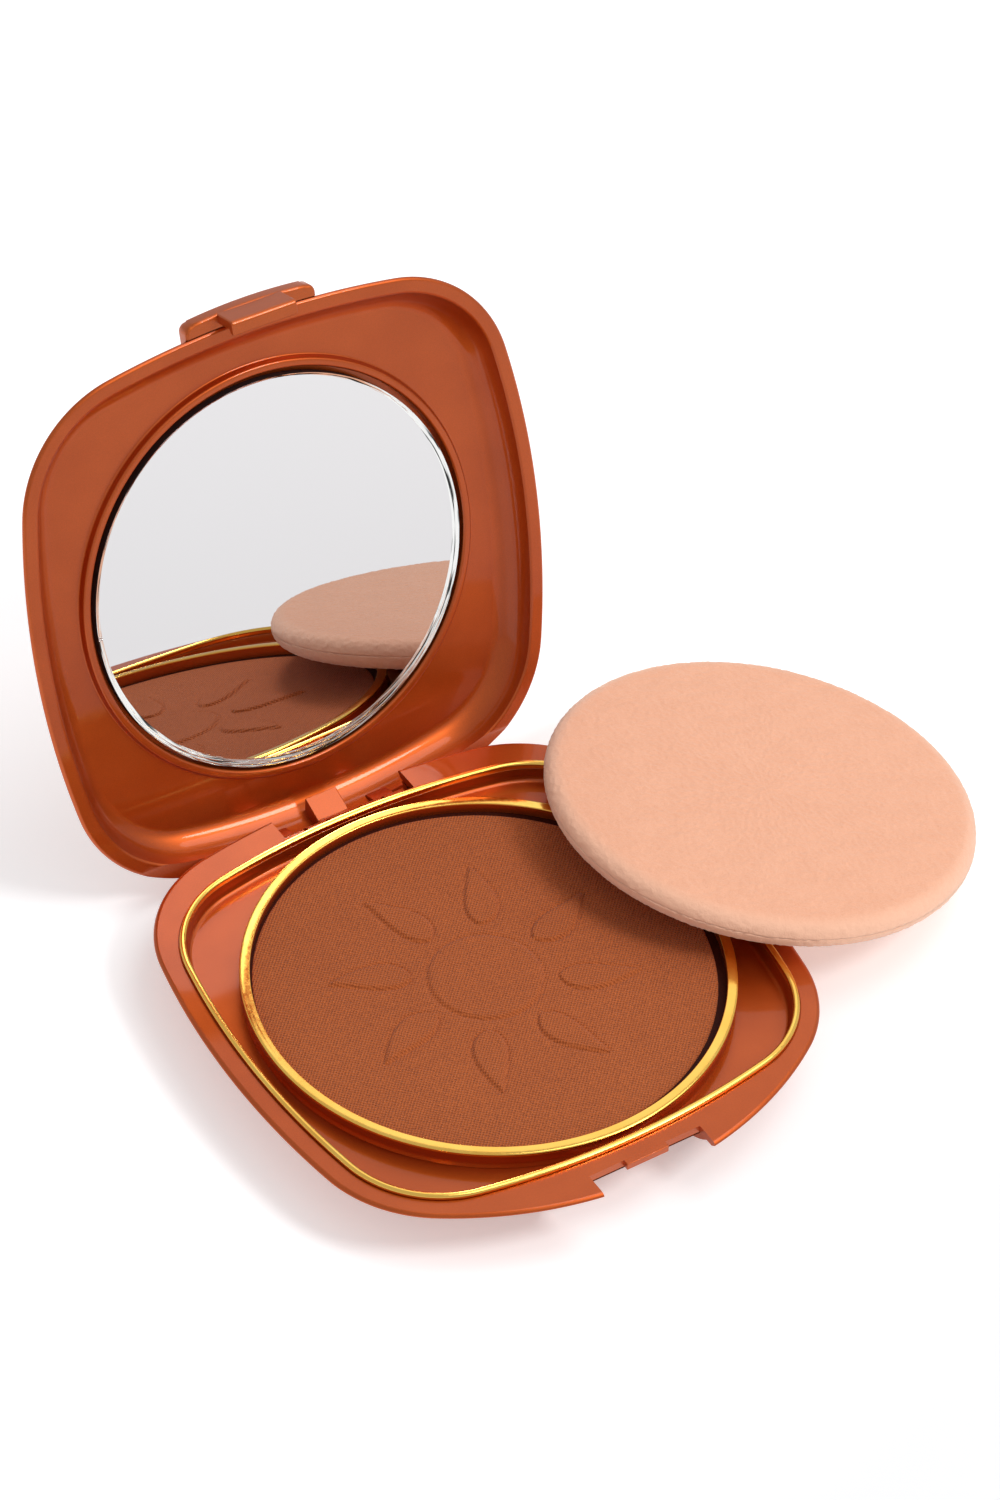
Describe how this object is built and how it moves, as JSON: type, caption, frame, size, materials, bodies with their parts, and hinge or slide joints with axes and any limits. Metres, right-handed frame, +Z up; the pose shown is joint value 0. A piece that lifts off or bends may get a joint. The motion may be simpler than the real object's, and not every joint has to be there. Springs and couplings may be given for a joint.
{
  "type": "powder compact",
  "caption": "Rounded-square powder compact, hinged mirror lid open, round pressed powder in a gold ring, and a round velour puff leaning on its rim.",
  "frame": {"origin": "middle of the base's flat foot, on the surface it stands on", "axes": "+Z up, +Y from the latch to the hinge, +X to the side where the puff lies"},
  "size_m": [0.111, 0.1008, 0.0744],
  "materials": {
    "bronze_plastic": "satin bronze metallic lacquer, glossier inside",
    "gold_trim": "gold anodised, polished",
    "pan_metal": "pressed, satin",
    "pressed_powder": "pressed bronzing powder with a woven press mark",
    "glue": "set hot-melt",
    "pin_steel": "bright",
    "mirror": "silvered glass, bevelled edge",
    "foam_tape": "adhesive foam",
    "puff_velour": "short dense velour pile",
    "puff_foam_rubber": "soft foam"
  },
  "bodies": {
    "base": {"base_shell": "bronze_plastic", "inner_tray": "bronze_plastic", "tray_trim": "gold_trim", "pan_ring": "gold_trim", "powder_pan": "pan_metal", "powder_cake": "pressed_powder", "pan_glue": "glue", "hinge_pin": "pin_steel"},
    "lid": {"lid_frame": "bronze_plastic", "lid_cover": "bronze_plastic", "mirror_glass": "mirror", "mirror_tape": "foam_tape", "latch_tab": "bronze_plastic"},
    "puff": {"puff_lower_velour": "puff_velour", "puff_foam": "puff_foam_rubber", "puff_upper_velour": "puff_velour"}
  },
  "joints": [
    {"name": "lid_hinge", "type": "hinge", "parent": "base", "child": "lid", "pos_m": [0, 0.034, 0.0058], "axis": [1, 0, 0], "range_deg": [0, 107.1]},
    {"name": "puff_stow", "type": "hinge", "parent": "base", "child": "puff", "pos_m": [0.01048, 0.00169, -0.27146], "axis": [0.1591, -0.9873, 0], "range_deg": [0, 9.5]}
  ],
  "couplings": [
    {"joint": "puff_stow", "follows": "lid_hinge", "ratio": 0.0887}
  ]
}
